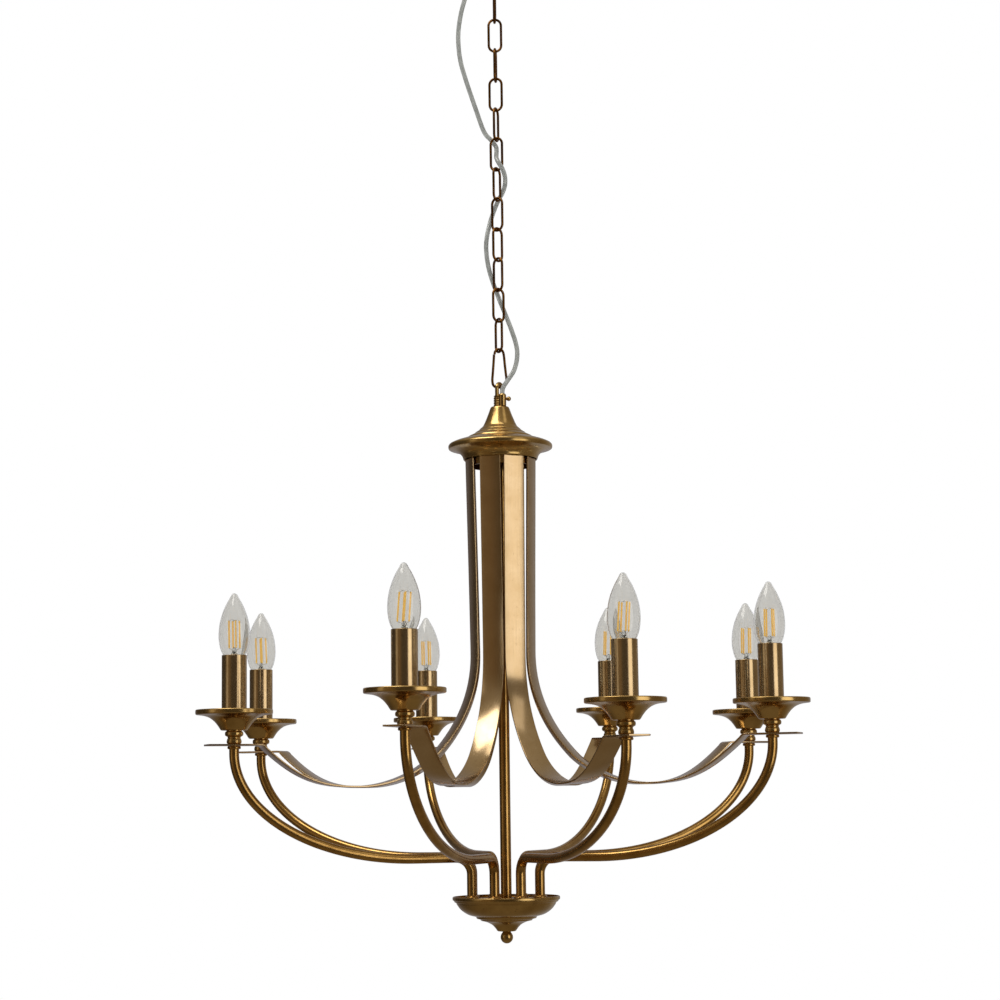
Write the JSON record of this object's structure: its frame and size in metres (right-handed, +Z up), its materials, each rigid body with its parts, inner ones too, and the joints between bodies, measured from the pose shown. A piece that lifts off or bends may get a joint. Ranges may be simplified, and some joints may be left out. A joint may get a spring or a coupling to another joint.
{
  "type": "multi arm chandelier",
  "caption": "Chain-hung chandelier: candle lights on curved tube arms and flat straps, stepped cap, dish with ball finial, cord wound round the chain.",
  "frame": {"origin": "middle of the ceiling bracket's top face, on the ceiling", "axes": "+Z up; the lamp hangs down -Z; +X is to the right of the view"},
  "size_m": [0.6833, 0.6934, 1.1976],
  "materials": {
    "antique_brass": "brushed and darkened brass, lacquered",
    "strap_brass": "brass strip brushed along its length",
    "sleeve_brass": "satin brass tube",
    "chain_brass": "dark antique brass wire",
    "zinc_steel": "zinc-plated steel",
    "clear_pvc": "clear PVC over tinned wires",
    "bulb_glass": "clear blown glass with amber filaments"
  },
  "bodies": {
    "ceiling_fitting": {"ceiling_bracket": "zinc_steel", "ceiling_rose": "antique_brass", "ceiling_loop": "chain_brass"},
    "top_link": {"chain_link_1": "chain_brass"},
    "chain": {"chain_links_2_3": "chain_brass", "chain_links_4_5": "chain_brass", "chain_links_6_7": "chain_brass", "chain_links_8_9": "chain_brass", "chain_links_10_11": "chain_brass", "chain_link_12": "chain_brass", "cord": "clear_pvc"},
    "quick_link": {"quick_link": "chain_brass"},
    "lamp": {"hanging_loop": "antique_brass", "top_cap": "antique_brass", "strap_collar": "antique_brass", "centre_tube": "antique_brass", "dish": "antique_brass", "dish_cover": "antique_brass", "arm_1": "antique_brass", "arm_2": "antique_brass", "arm_3": "antique_brass", "arm_4": "antique_brass", "arm_5": "antique_brass", "arm_6": "antique_brass", "arm_7": "antique_brass", "arm_8": "antique_brass", "strap_1": "strap_brass", "strap_2": "strap_brass", "strap_3": "strap_brass", "strap_4": "strap_brass", "strap_5": "strap_brass", "strap_6": "strap_brass", "strap_7": "strap_brass", "strap_8": "strap_brass", "drip_pan_1": "antique_brass", "drip_pan_2": "antique_brass", "drip_pan_3": "antique_brass", "drip_pan_4": "antique_brass", "drip_pan_5": "antique_brass", "drip_pan_6": "antique_brass", "drip_pan_7": "antique_brass", "drip_pan_8": "antique_brass", "candle_sleeve_1": "sleeve_brass", "candle_sleeve_2": "sleeve_brass", "candle_sleeve_3": "sleeve_brass", "candle_sleeve_4": "sleeve_brass", "candle_sleeve_5": "sleeve_brass", "candle_sleeve_6": "sleeve_brass", "candle_sleeve_7": "sleeve_brass", "candle_sleeve_8": "sleeve_brass"},
    "thumb_screw": {"thumb_screw": "antique_brass"},
    "finial": {"finial": "antique_brass"},
    "bulb_1": {"bulb_1": "bulb_glass"},
    "bulb_2": {"bulb_2": "bulb_glass"},
    "bulb_3": {"bulb_3": "bulb_glass"},
    "bulb_4": {"bulb_4": "bulb_glass"},
    "bulb_5": {"bulb_5": "bulb_glass"},
    "bulb_6": {"bulb_6": "bulb_glass"},
    "bulb_7": {"bulb_7": "bulb_glass"},
    "bulb_8": {"bulb_8": "bulb_glass"}
  },
  "joints": [
    {"name": "top_link_swing", "type": "hinge", "parent": "ceiling_fitting", "child": "top_link", "pos_m": [0, 0, -0.0633], "axis": [1, 0, 0], "range_deg": [-25, 25], "deforming": ["cord"]},
    {"name": "chain_swing", "type": "hinge", "parent": "top_link", "child": "chain", "pos_m": [0, 0, -0.0995], "axis": [-0.0872, 0.9962, 0], "range_deg": [-25, 25], "deforming": ["cord"]},
    {"name": "quick_link_swing", "type": "hinge", "parent": "chain", "child": "quick_link", "pos_m": [0, 0, -0.5062], "axis": [0.4848, -0.8746, 0], "range_deg": [-15, 15], "deforming": ["cord"]},
    {"name": "lamp_swing", "type": "hinge", "parent": "quick_link", "child": "lamp", "pos_m": [0, 0, -0.5491], "axis": [1, 0, 0], "range_deg": [-20, 20], "deforming": ["cord"]},
    {"name": "thumb_screw_turn", "type": "hinge", "parent": "lamp", "child": "thumb_screw", "pos_m": [0.01, -0.0056, -0.5638], "axis": [1, 0, 0], "range_deg": [0, 360]},
    {"name": "finial_turn", "type": "hinge", "parent": "lamp", "child": "finial", "pos_m": [0, 0, -1.1837], "axis": [0, 0, 1], "range_deg": [0, 360]},
    {"name": "bulb_1_slide", "type": "slide", "parent": "lamp", "child": "bulb_1", "axis": [0, 0, 1], "range_m": [0, 0.028]},
    {"name": "bulb_2_slide", "type": "slide", "parent": "lamp", "child": "bulb_2", "axis": [0, 0, 1], "range_m": [0, 0.028]},
    {"name": "bulb_3_slide", "type": "slide", "parent": "lamp", "child": "bulb_3", "axis": [0, 0, 1], "range_m": [0, 0.028]},
    {"name": "bulb_4_slide", "type": "slide", "parent": "lamp", "child": "bulb_4", "axis": [0, 0, 1], "range_m": [0, 0.028]},
    {"name": "bulb_5_slide", "type": "slide", "parent": "lamp", "child": "bulb_5", "axis": [0, 0, 1], "range_m": [0, 0.028]},
    {"name": "bulb_6_slide", "type": "slide", "parent": "lamp", "child": "bulb_6", "axis": [0, 0, 1], "range_m": [0, 0.028]},
    {"name": "bulb_7_slide", "type": "slide", "parent": "lamp", "child": "bulb_7", "axis": [0, 0, 1], "range_m": [0, 0.028]},
    {"name": "bulb_8_slide", "type": "slide", "parent": "lamp", "child": "bulb_8", "axis": [0, 0, 1], "range_m": [0, 0.028]}
  ]
}
